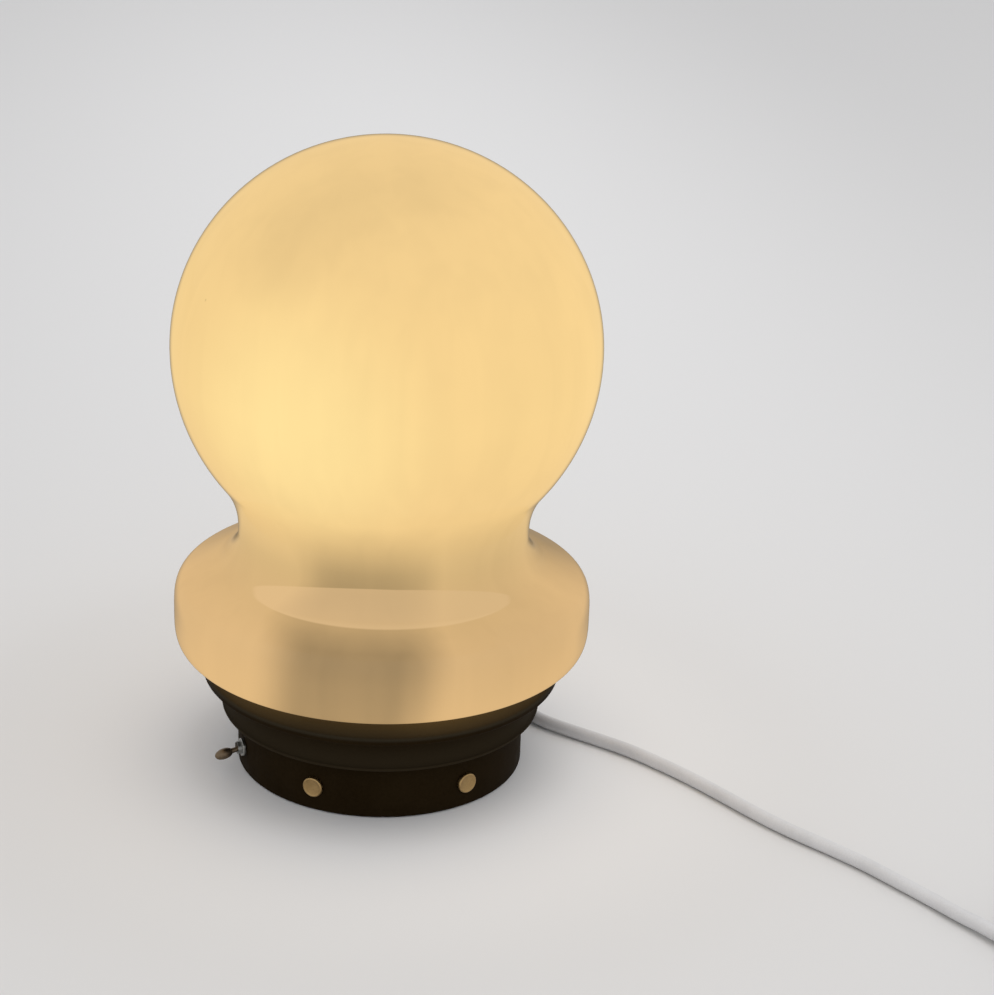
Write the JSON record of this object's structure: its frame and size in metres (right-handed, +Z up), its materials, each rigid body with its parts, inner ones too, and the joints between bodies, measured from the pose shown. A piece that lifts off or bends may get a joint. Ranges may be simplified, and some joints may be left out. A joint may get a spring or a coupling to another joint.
{
  "type": "table lamp",
  "caption": "Table lamp with a blown opal glass globe that narrows to a waist and a wide foot, lifted off a stepped dark metal base with a toggle switch and a cord.",
  "frame": {"origin": "centre of the felt underside, on the table", "axes": "+Z up along the lamp's axis, -Y to the front between the two brass screws, +X to the right"},
  "size_m": [0.4714, 0.3862, 0.3062],
  "materials": {
    "opal_glass": "glossy opal glass",
    "dark_paint": "satin dark brown paint",
    "brass": "dull worn brass",
    "zinc_steel": "zinc plated",
    "dark_rubber": "matte",
    "felt": "felt",
    "black_plastic": "moulded",
    "white_ceramic": "unglazed",
    "bulb_glass": "frosted",
    "bulb_metal": "bright",
    "pale_plastic": "smooth flexible sheath",
    "brown_plastic": "smooth",
    "blue_plastic": "smooth",
    "tie_band": "woven"
  },
  "bodies": {
    "base": {"gallery_ring": "dark_paint", "base_drum": "dark_paint", "carrier": "zinc_steel", "seat_gasket": "dark_rubber", "drum_screws": "brass", "base_pillars": "zinc_steel", "bottom_cover": "zinc_steel", "cover_screws": "zinc_steel", "felt_pad": "felt", "nipple": "brass", "nipple_nuts": "brass", "nipple_washer": "zinc_steel", "holder_cap": "black_plastic", "holder_shell": "black_plastic", "holder_insulator": "white_ceramic", "holder_sleeve": "brass", "holder_contact": "brass", "holder_terminals": "brass", "switch_body": "black_plastic", "switch_bushing": "zinc_steel", "switch_nut": "zinc_steel", "switch_pin": "zinc_steel", "switch_terminals": "brass", "strain_relief": "pale_plastic", "inner_sheath": "pale_plastic", "wire_line": "brown_plastic", "wire_switched": "brown_plastic", "wire_neutral": "blue_plastic", "cord": "pale_plastic", "cord_coil": "pale_plastic", "cord_tail": "pale_plastic", "cord_tie": "tie_band", "plug_body": "pale_plastic", "plug_pins": "zinc_steel"},
    "shade": {"glass_shade": "opal_glass"},
    "bulb": {"bulb_envelope": "bulb_glass", "bulb_cap": "bulb_metal", "bulb_insulator": "black_plastic", "bulb_contact": "bulb_metal"},
    "lever": {"switch_lever": "brass"}
  },
  "joints": [
    {"name": "shade_lift", "type": "slide", "parent": "base", "child": "shade", "axis": [0, 0, 1], "range_m": [0, 0.18]},
    {"name": "bulb_lift", "type": "slide", "parent": "base", "child": "bulb", "axis": [0, 0, 1], "range_m": [0, 0.03]},
    {"name": "switch_toggle", "type": "hinge", "parent": "base", "child": "lever", "pos_m": [-0.06713, -0.01799, 0.0128], "axis": [-0.2588, 0.9659, 0], "range_deg": [0, 26]}
  ]
}
